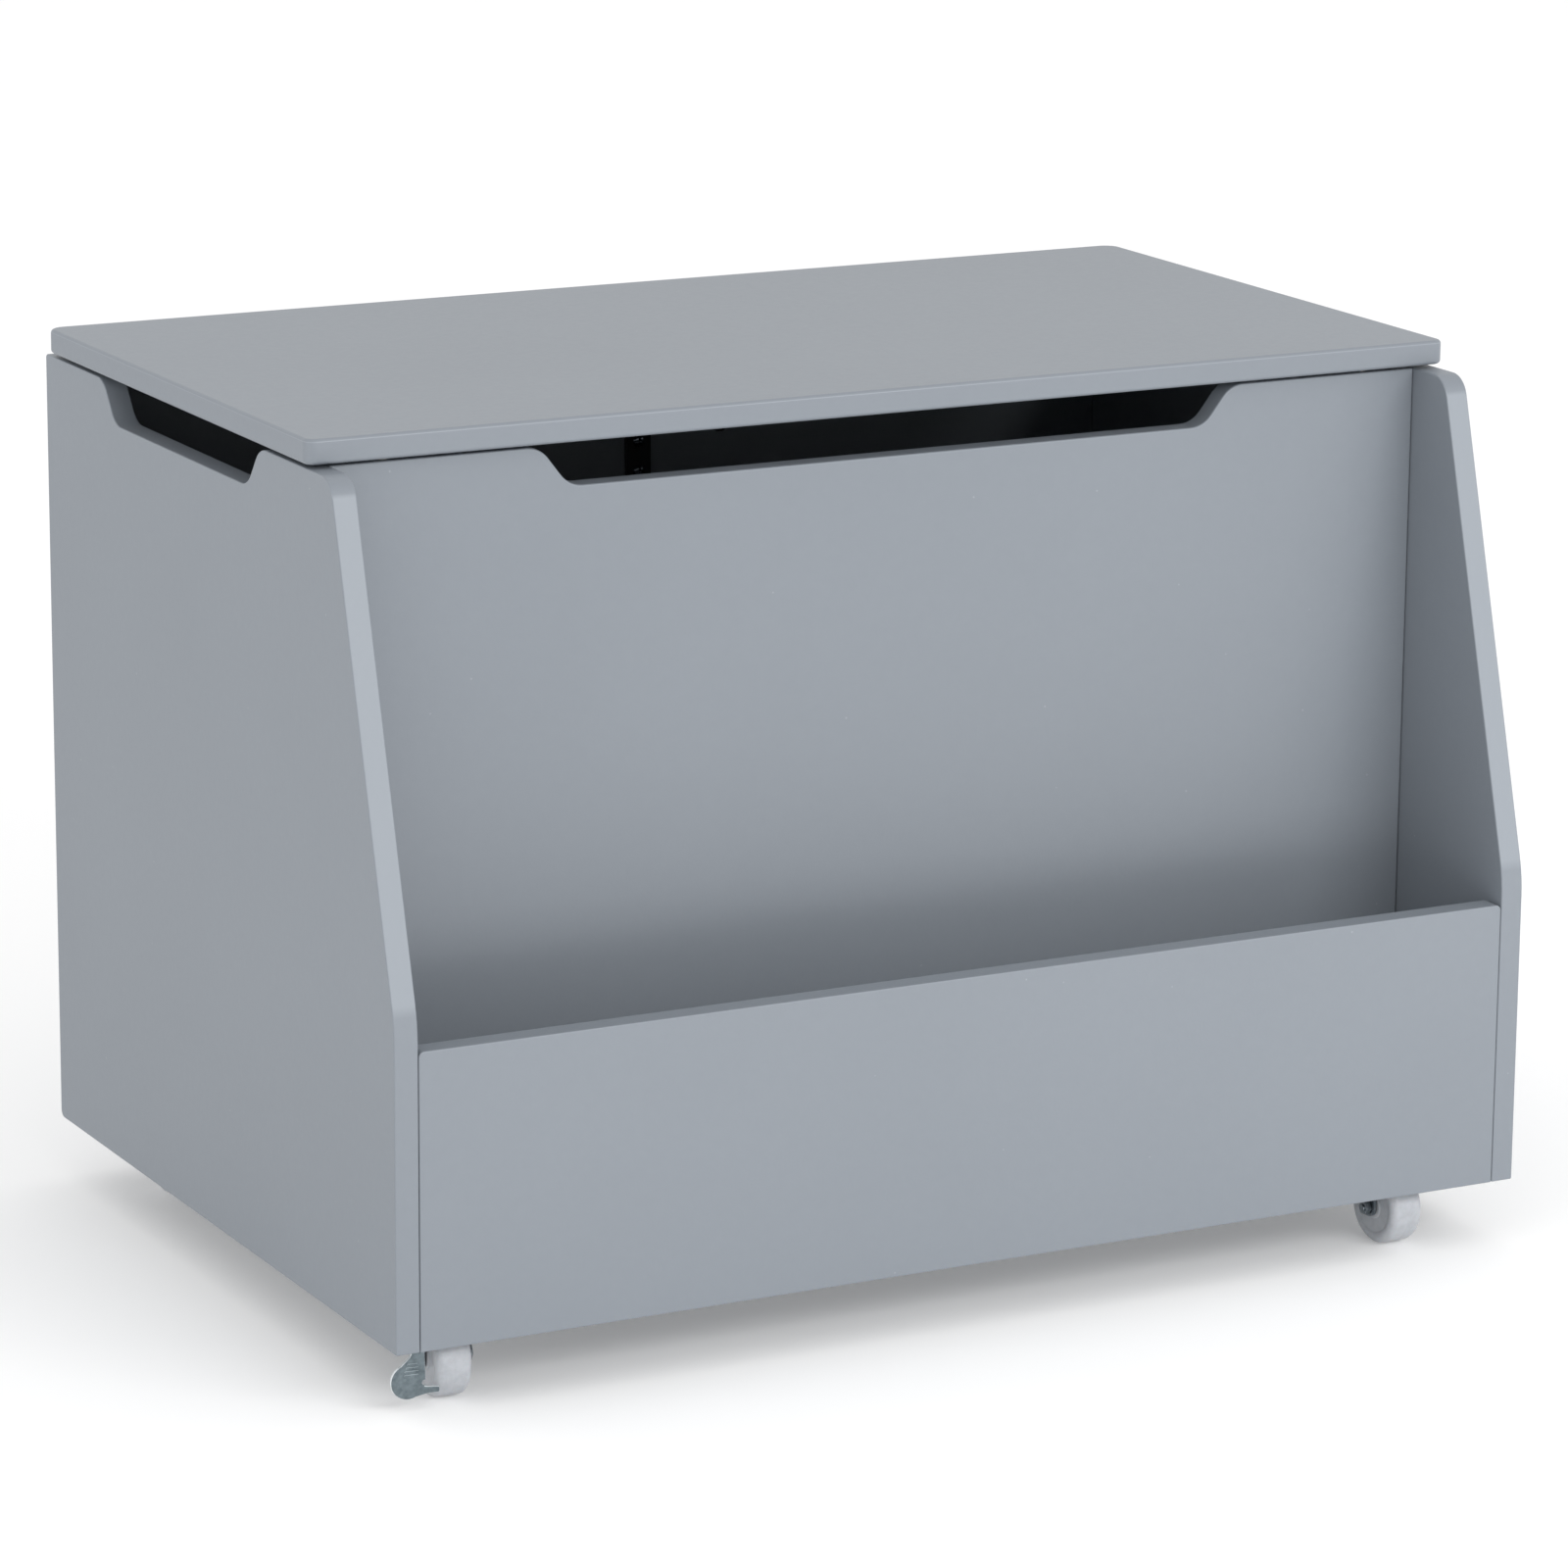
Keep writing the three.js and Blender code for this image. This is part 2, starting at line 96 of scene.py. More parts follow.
# Castors: name, swivel axis x and y, heading in degrees, side of its pedal (0 for none).
CASTORS = (
    ("front_left", -334.8, 44.4, -5.0, -1),
    ("front_right", 311.0, 44.4, 2.0, 0),
    ("rear_left", -325.0, 470.0, 0.0, 0),
    ("rear_right", 325.0, 470.0, 0.0, 1),
)
CASTOR_H = 61.7
WHEEL_R, WHEEL_W, TRAIL = 23.5, 22.5, 9.0
AXLE = (-TRAIL, WHEEL_R)
LEG_IN, LEG_T, FORK_TOP = WHEEL_W / 2 + 1, 1.8, 54.0
PEDAL_PIVOT = (-10.0, 36.3)
PAD_X, PAD_Y, PAD_Z, PAD_R = 29.4, -35.0, 19.0, 10.6


# ---- materials -------------------------------------------------------------------------------
class Nodes:
    """A small helper round one material's node tree."""

    def __init__(self, name):
        self.mat = bpy.data.materials.new(name)
        self.mat.use_nodes = True
        self.tree = self.mat.node_tree
        self.shader = self.tree.nodes["Principled BSDF"]
        place = self.tree.nodes.new("ShaderNodeTexCoord")
        self.coord, self.normal = place.outputs["Object"], place.outputs["Normal"]

    def set(self, **values):
        for key, value in values.items():
            self.shader.inputs[key.replace("_", " ")].default_value = value

    def node(self, kind, **values):
        """A new node. Each value is for the input of that name, or else for the setting."""
        made = self.tree.nodes.new(kind)
        for key, value in values.items():
            label = key.replace("_", " ")
            if label in made.inputs:
                made.inputs[label].default_value = value
            else:
                setattr(made, key, value)
        return made

    def link(self, a, b):
        self.tree.links.new(a, b)

    def noise(self, scale, detail=3.0, roughness=0.5, stretch=None):
        made = self.node("ShaderNodeTexNoise", Scale=scale, Detail=detail, Roughness=roughness)
        source = self.coord
        if stretch:
            mapping = self.node("ShaderNodeMapping", Scale=stretch)
            self.link(self.coord, mapping.inputs["Vector"])
            source = mapping.outputs["Vector"]
        self.link(source, made.inputs["Vector"])
        return made.outputs["Fac"]

    def facing(self, axis):
        """How far the surface faces along the piece's X, Y or Z, from -1 to 1."""
        split = self.node("ShaderNodeSeparateXYZ")
        self.link(self.normal, split.inputs["Vector"])
        return split.outputs[axis]

    def math(self, operation, *values):
        made = self.node("ShaderNodeMath", operation=operation)
        for value, socket in zip(values, made.inputs):
            self.link(value, socket)
        return made.outputs[0]

    def ramp(self, fac, stops):
        """Two colours blended between two positions."""
        made = self.node("ShaderNodeValToRGB")
        for element, (at, color) in zip(made.color_ramp.elements, stops):
            element.position, element.color = at, color
        self.link(fac, made.inputs["Fac"])
        return made.outputs["Color"]

    def remap(self, fac, low, high, lo=0.3, hi=0.7):
        """The stretch lo to hi of fac, as low to high."""
        made = self.node("ShaderNodeMapRange", From_Min=lo, From_Max=hi, To_Min=low, To_Max=high)
        self.link(fac, made.inputs["Value"])
        return made.outputs["Result"]

    def mix(self, fac, a, b):
        """Colour a, or colour b where fac is 1. A colour is a socket or a value."""
        made = self.node("ShaderNodeMix", data_type="RGBA")
        for value, socket in ((fac, made.inputs[0]), (a, made.inputs[6]), (b, made.inputs[7])):
            if isinstance(value, bpy.types.NodeSocket):
                self.link(value, socket)
            else:
                socket.default_value = value
        return made.outputs[2]

    def bump(self, height, strength, distance, under=None):
        made = self.node("ShaderNodeBump", Strength=strength, Distance=distance)
        self.link(height, made.inputs["Height"])
        if under is not None:
            self.link(under, made.inputs["Normal"])
        return made.outputs["Normal"]

    def finish(self, color, rough, normal):
        for value, key in ((color, "Base Color"), (rough, "Roughness"), (normal, "Normal")):
            self.link(value, self.shader.inputs[key])
        return self.mat


def linear(r, g, b):
    """An sRGB colour, 0 to 255, as linear RGBA."""
    def one(c):
        c /= 255.0
        return c / 12.92 if c <= 0.04045 else ((c + 0.055) / 1.055) ** 2.4

    return (one(r), one(g), one(b), 1.0)


def paint():
    """Satin grey-blue paint on smooth fibreboard, with a sprayed coat's slight texture."""
    n = Nodes("satin_paint")
    n.set(Specular_IOR_Level=0.42)
    cloud = n.noise(5.0, 4.0, 0.55)
    base = n.ramp(cloud, [(0.3, linear(122, 128, 135)), (0.7, linear(124, 130, 137))])
    mottle = n.noise(160.0, 3.0, 0.6)
    base = n.mix(n.remap(mottle, 0.0, 0.16), base, linear(116, 121, 129))
    specks = n.node("ShaderNodeTexVoronoi", Scale=38.0, Randomness=1.0)
    n.link(n.coord, specks.inputs["Vector"])
    dot = n.remap(specks.outputs["Distance"], 0.5, 0.0, 0.018, 0.03)
    base = n.mix(dot, base, linear(150, 156, 162))
    # Painted highlight: sloping edges and rounded rims, between upright and level, are painted a
    # little lighter, as if they caught more light.
    highlight_rise = n.facing("Z")
    slope = n.math("MULTIPLY", n.remap(highlight_rise, 0.0, 1.0, 0.18, 0.25), n.remap(highlight_rise, 1.0, 0.0, 0.3, 0.45))
    base = n.mix(slope, base, linear(135, 141, 148))
    rough = n.remap(n.noise(240.0, 2.0), 0.435, 0.455)
    peel = n.bump(n.noise(420.0, 2.0, 0.45), 0.10, 0.0004)
    fine = n.bump(n.noise(2600.0, 2.0, 0.6), 0.05, 0.0001, peel)
    return n.finish(base, rough, fine)


def zinc():
    """Bright zinc plate over stamped steel: clouded, with fine handling scratches."""
    n = Nodes("zinc_plate")
    n.set(Metallic=1.0)
    cloud = n.noise(180.0, 4.0, 0.6)
    base = n.ramp(cloud, [(0.3, linear(112, 120, 126)), (0.7, linear(150, 157, 162))])
    scratch = n.noise(900.0, 3.0, 0.6, (1.0, 12.0, 1.0))
    rough = n.remap(scratch, 0.22, 0.40)
    return n.finish(base, rough, n.bump(scratch, 0.12, 0.0001))


def polished_screw():
    """Smooth dark zinc screw heads, faintly brushed."""
    n = Nodes("polished_screw")
    n.set(Metallic=1.0)
    grain = n.noise(1400.0, 3.0, 0.6)
    base = n.ramp(grain, [(0.3, linear(96, 102, 108)), (0.7, linear(118, 124, 130))])
    return n.finish(base, n.remap(grain, 0.14, 0.2), n.bump(grain, 0.05, 0.0001))


def pressed_plate_painted_glint():
    """Zinc on the pedal, coloured by which way it faces: dull and dark on the pressed faces, a painted
    dark reflection, and near white on the sheared edges, a painted highlight.
    """
    n = Nodes("pressed_plate_painted_glint")
    n.set(Metallic=1.0)
    # Painted reflection and highlight: faces turned along Y get the dark zinc, the edges the
    # near-white one.
    flat = n.math("ABSOLUTE", n.facing("Y"))
    cloud = n.noise(260.0, 4.0, 0.6)
    face = n.ramp(cloud, [(0.3, linear(92, 102, 107)), (0.7, linear(122, 133, 138))])
    edge = n.ramp(cloud, [(0.3, linear(205, 210, 212)), (0.7, linear(228, 231, 232))])
    base = n.mix(n.remap(flat, 0.0, 1.0, 0.72, 0.95), edge, face)
    scratch = n.noise(1200.0, 3.0, 0.6, (1.0, 6.0, 1.0))
    rough = n.remap(flat, 0.62, 0.34, 0.72, 0.95)
    return n.finish(base, rough, n.bump(scratch, 0.15, 0.0001))


def black_steel():
    """Black powder coat with a fine texture."""
    n = Nodes("black_powder_coat")
    n.set(Specular_IOR_Level=0.5)
    grain = n.noise(1500.0, 3.0, 0.6)
    base = n.ramp(grain, [(0.3, (0.008, 0.008, 0.009, 1)), (0.7, (0.016, 0.016, 0.018, 1))])
    rough = n.remap(n.noise(300.0, 2.0), 0.30, 0.42)
    return n.finish(base, rough, n.bump(grain, 0.25, 0.00015))


def nylon():
    """White moulded wheel plastic, with a soft sheen and faint scuffs."""
    n = Nodes("white_nylon")
    n.set(Subsurface_Weight=0.06, Subsurface_Scale=0.003, Specular_IOR_Level=0.5)
    scuff = n.noise(220.0, 4.0, 0.65)
    base = n.ramp(scuff, [(0.35, linear(160, 163, 168)), (0.6, linear(169, 172, 177))])
    dirt = n.noise(45.0, 5.0, 0.7)
    base = n.mix(n.remap(dirt, 0.0, 0.30, 0.55, 0.75), base, linear(148, 151, 156))
    return n.finish(base, n.remap(scuff, 0.30, 0.42), n.bump(scuff, 0.05, 0.0002))


def rubber():
    """Soft off-white bumper plastic."""
    n = Nodes("bumper_soft")
    n.set(Subsurface_Weight=0.2, Subsurface_Scale=0.002)
    grain = n.noise(900.0, 2.0)
    base = n.ramp(grain, [(0.3, linear(206, 207, 202)), (0.7, linear(216, 217, 212))])
    return n.finish(base, n.remap(grain, 0.5, 0.62), n.bump(grain, 0.08, 0.0001))


def floor_white():
    """Plain pale studio floor, lifted a little by its own light."""
    n = Nodes("floor_white")
    n.set(Base_Color=(0.78, 0.78, 0.78, 1), Roughness=0.9, Specular_IOR_Level=0.1)
    n.set(Emission_Color=(1.0, 1.0, 1.0, 1), Emission_Strength=0.175)
    return n.mat


PRESSED_GLINT, POLISHED = pressed_plate_painted_glint(), polished_screw()
MATERIALS = {
    "paint": paint(), "zinc_steel": zinc(), "black_steel": black_steel(),
    "wheel_nylon": nylon(), "bumper_rubber": rubber(),
}


# ---- mesh building ---------------------------------------------------------------------------
def corner(a, p, b, r, step):
    """Points of a rounded corner of radius r at p, between its neighbours a and b."""
    a, p, b = Vector(a), Vector(p), Vector(b)
    if r <= 0:
        return [p]
    u, v = (a - p).normalized(), (b - p).normalized()
    half = u.angle(v) / 2
    mid = p + (u + v).normalized() * (r / math.sin(half))
    start, end = p + u * (r / math.tan(half)) - mid, p + v * (r / math.tan(half)) - mid
    begin = math.atan2(start.y, start.x)
    turn = math.atan2(end.y, end.x) - begin
    turn = (turn + math.pi) % (2 * math.pi) - math.pi
    n = max(2, math.ceil(abs(math.degrees(turn)) / step))
    return [mid + r * Vector((math.cos(begin + turn * i / n), math.sin(begin + turn * i / n)))
            for i in range(n + 1)]


def outline(corners, step=5.0):
    """Closed outline, as Vectors, from (x, y, radius) corners."""
    n = len(corners)
    points = []
    for i, (x, y, r) in enumerate(corners):
        points += corner(corners[i - 1][:2], (x, y), corners[(i + 1) % n][:2], r, step)
    area = sum(points[i - 1].cross(points[i]) for i in range(len(points)))
    return points if area > 0 else points[::-1]


def rect(x0, y0, x1, y1, r=0.0, step=9.0):
    """A rectangle with its corners rounded to radius r."""
    return outline([(x0, y0, r), (x1, y0, r), (x1, y1, r), (x0, y1, r)], step)


def circle(r, sides, x=0.0, y=0.0):
    """A circle's outline, with its middle at x, y."""
    turns = (2 * math.pi * i / sides for i in range(sides))
    return [Vector((x + r * math.cos(t), y + r * math.sin(t))) for t in turns]


def inset(points, d):
    """The outline moved inwards by d, one point for one."""
    n, moved = len(points), []
    for i, p in enumerate(points):
        before, after = (p - points[i - 1]).normalized(), (points[(i + 1) % n] - p).normalized()
        n1, n2 = Vector((-before.y, before.x)), Vector((-after.y, after.x))
        both = (n1 + n2).normalized()
        moved.append(p + both * (d / max(0.3, both.dot(n1))))
    return moved


SHARP_ANGLE = math.radians(40)
PLANES = {
    "x": lambda u, v, w: Vector((w, u, v)),
    "y": lambda u, v, w: Vector((u, w, v)),
    "z": lambda u, v, w: Vector((u, v, w)),
}


class Shell:
    """Vertices and faces of one closed surface, in millimetres."""

    def __init__(self):
        self.verts, self.faces = [], []

    def rings(self, rings, wrap=False):
        """Skins equal rings in order; capped at both ends, or wrapped from last to first."""
        start, n = len(self.verts), len(rings[0])
        for ring in rings:
            self.verts += ring
        last = len(rings) if wrap else len(rings) - 1
        for k in range(last):
            a, b = start + k * n, start + ((k + 1) % len(rings)) * n
            for i in range(n):
                j = (i + 1) % n
                self.faces.append((a + i, a + j, b + j, b + i))
        if not wrap:
            self.faces.append(tuple(start + i for i in reversed(range(n))))
            top = start + (len(rings) - 1) * n
            self.faces.append(tuple(top + i for i in range(n)))
        return self

    def add(self, other):
        """Takes in another shell's surface as it is."""
        shift = len(self.verts)
        self.verts += other.verts
        self.faces += [tuple(i + shift for i in face) for face in other.faces]
        return self

    def move(self, matrix):
        self.verts = [matrix @ v for v in self.verts]
        return self


def slab(points, plane, low, thick, soft=0.0, seg=4):
    """A plate of that outline with both rims rounded to radius soft."""
    if soft > 0:
        turns = [math.pi / 2 * i / seg for i in range(seg + 1)]
        levels = [(soft * (1 - math.sin(t)), soft * (1 - math.cos(t))) for t in turns]
        levels += [(d, thick - h) for d, h in reversed(levels)]
    else:
        levels = [(0.0, 0.0), (0.0, thick)]
    place = PLANES[plane]
    rings = [[place(p.x, p.y, low + h) for p in (inset(points, d) if d else points)]
             for d, h in levels]
    return Shell().rings(rings)


def lathe(profile, sides=48, closed=False):
    """A turned shape about local Z from (radius, height) points; closed joins last to first."""
    rings = []
    for r, h in profile:
        turns = (2 * math.pi * i / sides for i in range(sides))
        rings.append([Vector((r * math.cos(t), r * math.sin(t), h)) for t in turns])
    return Shell().rings(rings, wrap=closed)


AXES = {
    "x": Matrix(((0, 0, 1, 0), (1, 0, 0, 0), (0, 1, 0, 0), (0, 0, 0, 1))),
    "y": Matrix(((1, 0, 0, 0), (0, 0, 1, 0), (0, -1, 0, 0), (0, 0, 0, 1))),
    "-y": Matrix(((1, 0, 0, 0), (0, 0, -1, 0), (0, 1, 0, 0), (0, 0, 0, 1))),
    "z": Matrix.Identity(4),
    "-z": Matrix(((1, 0, 0, 0), (0, -1, 0, 0), (0, 0, -1, 0), (0, 0, 0, 1))),
}


def turned(profile, axis, at, sides=48, closed=False):
    """A turned shape standing on the point at, about that axis."""
    return lathe(profile, sides, closed).move(Matrix.Translation(at) @ AXES[axis])


def both_ends(profile, length):
    """A profile from one end of a bar, with its mirror image at the other end."""
    return profile + [(r, length - h) for r, h in reversed(profile)]


def rod(r, axis, at, length, sides=32, soft=0.0):
    """A plain round bar from at, along axis, with its ends rounded by soft."""
    ends = [(r - soft, 0.0), (r - soft * 0.3, soft * 0.3), (r, soft)] if soft else [(r, 0.0)]
    return turned(both_ends(ends, length), axis, at, sides)


def to_object(name, shell):
    """The shell as an object, placed in the frame in metres."""
    mesh = bpy.data.meshes.new(name)
    mesh.from_pydata([(v + SHIFT) * MM for v in shell.verts], [], shell.faces)
    obj = bpy.data.objects.new(name, mesh)
    bpy.context.scene.collection.objects.link(obj)
    return obj


def boolean(obj, shells, operation="DIFFERENCE"):
    """Cuts each shell from obj in order, or joins or intersects it."""
    for shell in shells:
        tool = to_object("tool", shell)
        for mesh in (tool.data, obj.data):
            fix_normals(mesh)
        mod = obj.modifiers.new("cut", "BOOLEAN")
        mod.operation, mod.object, mod.solver = operation, tool, "EXACT"
        graph = bpy.context.evaluated_depsgraph_get()
        made = bpy.data.meshes.new_from_object(obj.evaluated_get(graph))
        obj.modifiers.clear()
        old, obj.data = obj.data, made
        bpy.data.objects.remove(tool)
        bpy.data.meshes.remove(old)


def fix_normals(mesh):
    """Turns every face outwards."""
    bm = bmesh.new()
    bm.from_mesh(mesh)
    bmesh.ops.recalc_face_normals(bm, faces=bm.faces)
    bm.to_mesh(mesh)
    bm.free()


def dress(obj, body, slot, stands_for=(), weight=100):
    """Material and smooth shading of a piece, and what it rides on and stands for.

    weight says how far the large faces rule the shading, up to 100.
    """
    fix_normals(obj.data)
    obj.data.materials.clear()
    obj.data.materials.append(MATERIALS[slot])
    obj.data.shade_smooth()
    obj.data.set_sharp_from_angle(angle=SHARP_ANGLE)
    weighted = obj.modifiers.new("flat_faces", "WEIGHTED_NORMAL")
    weighted.keep_sharp = True
    weighted.weight = weight
    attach(obj, body)
    if stands_for:
        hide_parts(*stands_for)
    return obj


def piece(name, shell, body, slot, stands_for=(), cuts=(), joins=()):
    """One finished visual piece, with its joins added before its cuts are made."""
    obj = to_object(name, shell)
    boolean(obj, joins, "UNION")
    boolean(obj, cuts)
    return dress(obj, body, slot, stands_for)


# ---- boards ----------------------------------------------------------------------------------
def board(name, shell, stands_for, cuts=(), body="carcass"):
    piece(name, shell, body, "paint", [stands_for], cuts)


def side_outline():
    """Upright back, straight front up to the bin, the slope, and the hand notch."""
    return outline([
        (0, 0, 1), (BODY_D, 0, 5), (BODY_D, BODY_H, 2.5),
        (SIDE_NOTCH_BACK + NOTCH_LEAN, BODY_H, NOTCH_R), (SIDE_NOTCH_BACK, SIDE_NOTCH_Z, NOTCH_R),
        (SIDE_NOTCH_FRONT, SIDE_NOTCH_Z, NOTCH_R), (SIDE_NOTCH_FRONT - NOTCH_LEAN, BODY_H, NOTCH_R),
        (SLOPE_TOP_Y, BODY_H, 16), (0, SLOPE_FOOT_Z, 90),
    ])


def inner_outline():
    """A rectangle standing on the bottom panel, with the wide hand notch."""
    foot, half = FLOOR_Z + BOARD + GAP, INNER_NOTCH_HALF
    return outline([
        (-HALF, foot, 0), (HALF, foot, 0), (HALF, BODY_H, 0),
        (half + NOTCH_LEAN, BODY_H, NOTCH_R), (half, INNER_NOTCH_Z, NOTCH_R),
        (-half, INNER_NOTCH_Z, NOTCH_R), (-half - NOTCH_LEAN, BODY_H, NOTCH_R), (-HALF, BODY_H, 0),
    ])


def inward(into):
    return "y" if into > 0 else "-y"


def cam_pockets(label):
    """The blind holes for a board's two cam discs."""
    face, into, z = CAM_SITES[label]
    profile = [(CAM_R + GAP, -2), (CAM_R + GAP, CAM_DEEP + 0.5)]
    return [turned(profile, inward(into), (x, face, z)) for x in (-CAM_X, CAM_X)]


def boards():
    side = side_outline()
    for label, low in (("left", -HALF_W), ("right", INNER_W)):
        board(f"{label}_side_board", slab(side, "x", low, BOARD, 0.95, 4), f"{label}_side_panel")
    back = rect(-HALF, 0, HALF, BODY_H, 0.6)
    board("back_board", slab(back, "y", BODY_D - BOARD, BOARD, 0.6, 3), "back_panel",
          cam_pockets("back"))
    board("inner_front_board", slab(inner_outline(), "y", INNER_Y, BOARD, 1.2, 4),
          "inner_front_panel", cam_pockets("inner"))
    bin_front = outline([(-HALF, 0, 0.8), (HALF, 0, 0.8), (HALF, BIN_H, 3.5), (-HALF, BIN_H, 3.5)])
    board("bin_front_board", slab(bin_front, "y", 0, BOARD, 0.75, 4), "bin_front_panel",
          cam_pockets("bin"))
    base = rect(-HALF, BOARD + GAP, HALF, BODY_D - BOARD - GAP, 0.5)
    board("bottom_board", slab(base, "z", FLOOR_Z, BOARD, 0.4, 2), "bottom_panel")
    lid = outline([(-LID_HALF, LID_FRONT, 7), (LID_HALF, LID_FRONT, 7),
                   (LID_HALF, LID_BACK, 11), (-LID_HALF, LID_BACK, 11)])
    board("lid_board", slab(lid, "z", LID_Z, BOARD, 2.4, 6), "lid_panel", body="lid")


# ---- cams, bumpers and screws ----------------------------------------------------------------
def cross_slot(r, axis, at, deep, wide):
    """A cross recess, as two thin bars, to cut out of a head of radius r."""
    bars = []
    for u, v in ((r * 0.62, wide / 2), (wide / 2, r * 0.62)):
        bars.append(slab(rect(-u, -v, u, v), "z", -deep, deep * 2)
                    .move(Matrix.Translation(at) @ AXES[axis]))
    return bars


def cams():
    for label, (face, into, z) in CAM_SITES.items():
        for side, sign in SIDES:
            axis, at = inward(into), (sign * CAM_X, face + into * 0.2, z)
            disc = turned([(CAM_R - 0.4, 0), (CAM_R, 0.4), (CAM_R, CAM_DEEP)], axis, at)
            piece(f"cam_disc_{label}_{side}", disc, "carcass", "zinc_steel",
                  [f"cam_{label}_{side}"], cross_slot(CAM_R, axis, at, 1.6, 1.5))


def bumpers():
    dome = [(4.0, GAP), (4.0, 1.2), (3.6, 1.7), (2.6, 2.1), (1.0, 2.3)]
    for side, sign in SIDES:
        at = (sign * BUMPER_X, INNER_Y + BOARD / 2, BODY_H)
        piece(f"bumper_dot_{side}", turned(dome, "z", at, 40), "carcass", "bumper_rubber",
              [f"bumper_{side}"])


def screws(name, sites, axis, r, body, slot="zinc_steel", dome=0.9):
    """Screw heads with a cross recess. axis points out of the head."""
    profile = [(r, -0.4), (r, 0.15), (r * 0.9, dome * 0.55), (r * 0.6, dome * 0.88), (r * 0.2, dome)]
    heads = Shell()
    cuts = []
    for at in sites:
        heads.add(turned(profile, axis, at, 28))
        top = Vector(at) + (AXES[axis] @ Vector((0, 0, dome)))
        cuts += cross_slot(r, axis, top, dome * 0.75, r * 0.3)
    return piece(name, heads, body, slot, (), cuts)


# ---- hinges ----------------------------------------------------------------------------------
def leaf_outline(x0, x1, inner, front, r, outer_back, inner_back):
    """A leaf from its front edge to the pin; inner is the stretch of x under the middle knuckle."""
    a, b = inner
    return outline([
        (x0, front, r), (x1, front, r), (x1, outer_back, 0), (b, outer_back, 0),
        (b, inner_back, 0), (a, inner_back, 0), (a, outer_back, 0), (x0, outer_back, 0),
    ], 15)


def knuckle(start, end):
    """A rolled sleeve on the pin, from x = start to x = end."""
    tube = [(PIN_R + 0.4, 0), (KNUCKLE_R - 0.25, 0), (KNUCKLE_R, 0.25)]
    profile = both_ends(tube, end - start)
    return turned(profile, "x", (start, HINGE_Y, HINGE_Z), 40, closed=True)


def hinge(side, mid):
    """Two leaves and a pin. The lid's leaf has the middle knuckle, with play at both its ends."""
    x0, x1 = mid - HINGE_W / 2, mid + HINGE_W / 2
    a, b = x0 + HINGE_W / 3, x1 - HINGE_W / 3
    joined, clear = HINGE_Y - 1.8, HINGE_Y - 3.3
    slack, play = 0.25, 0.4
    box_z, lid_z = BODY_H + slack, LID_Z - slack - LEAF_T

    box_leaf = leaf_outline(x0, x1, (a - 0.01, b + 0.01), BOX_LEAF_FRONT, 2, joined, clear)
    piece(f"hinge_leaf_box_{side}", slab(box_leaf, "z", box_z, LEAF_T, 0.2, 2), "carcass",
          "black_steel", [f"hinge_{side}_box_leaf"], (), [knuckle(x0, a), knuckle(b, x1)])
    lid_leaf = leaf_outline(x0, x1, (a + play, b - play), LID_LEAF_FRONT, 3, clear, joined)
    piece(f"hinge_leaf_lid_{side}", slab(lid_leaf, "z", lid_z, LEAF_T, 0.2, 2), "lid",
          "black_steel", [f"hinge_{side}_lid_leaf"], (), [knuckle(a + play, b - play)])

    pin = both_ends([(0.5, 0), (PIN_R - 0.2, 0.25), (PIN_R, 0.7)], HINGE_W + 2)
    piece(f"hinge_pin_{side}", turned(pin, "x", (x0 - 1, HINGE_Y, HINGE_Z), 24), "carcass",
          "zinc_steel", [f"hinge_{side}_pin"])
    screws(f"hinge_lid_screws_{side}", [(mid + s * 20, 498.5, lid_z) for s in (-1, 0, 1)],
           "-z", 2.6, "lid", "black_steel", 0.12)
    screws(f"hinge_box_screws_{side}", [(mid + s * 22, 514.5, box_z + LEAF_T) for s in (-1, 1)],
           "z", 2.6, "carcass", "black_steel", 0.12)


# ---- lid stay --------------------------------------------------------------------------------
def eye(p, x):
    """The rivet hole through a bar at x."""
    return rod(RIVET_HOLE, "x", (x - 1, p[0], p[1]), GAUGE + 2, 28)


def stay_bar(a, b, x, width=12.0):
    """A flat bar with round ends, from rivet a to rivet b."""
    a, b = Vector(a), Vector(b)
    along = (b - a).normalized()
    side = Vector((-along.y, along.x)) * (width / 2)
    tip = along * (width / 2)
    r = width / 2 - 0.02
    shape = outline([(*(a - tip - side), r), (*(b + tip - side), r), (*(b + tip + side), r),
                     (*(a - tip + side), r)], 9)
    return slab(shape, "x", x, GAUGE, 0.4, 3)


def rivet(name, p, x0, x1, body, stands_for):
    """A rivet through its eye, with a domed head at each end."""
    head = [(0.6, 0.0), (2.0, 0.12), (3.1, 0.45), (3.6, 1.0), (2.0, 1.0)]
    piece(name, turned(both_ends(head, x1 - x0), "x", (x0, *p), 32), body, "zinc_steel",
          [stands_for])


def box_bracket():
    """A plate on the back panel, with an ear for the arm's rivet."""
    y, z = RIVET_BOX
    ear = outline([(BACK_FACE - 1, z - 12, 0), (BACK_FACE - 1, z + 9, 0), (y - 7, z + 7, 6),
                   (y - 7, z - 7, 6)], 9)
    plate = rect(STAY_X - 9, z - 72, STAY_X + 9, z + 10, 3)
    piece("stay_box_plate", slab(plate, "y", BACK_FACE - 2, 2, 0.5, 3), "carcass", "black_steel",
          ["stay_base_bracket"], [eye(RIVET_BOX, EAR_X)], [slab(ear, "x", EAR_X, GAUGE, 0.3, 2)])


def stay_bars():
    arm_x, link_x = EAR_X + PITCH, EAR_X + 2 * PITCH
    piece("stay_lower_arm", stay_bar(RIVET_BOX, RIVET_ELBOW, arm_x), "stay_arm", "black_steel",
          ["stay_arm"], [eye(RIVET_BOX, arm_x), eye(RIVET_ELBOW, arm_x)])
    piece("stay_upper_link", stay_bar(RIVET_ELBOW, RIVET_LID, link_x), "stay_link", "black_steel",
          ["stay_link"], [eye(RIVET_ELBOW, link_x), eye(RIVET_LID, link_x)])


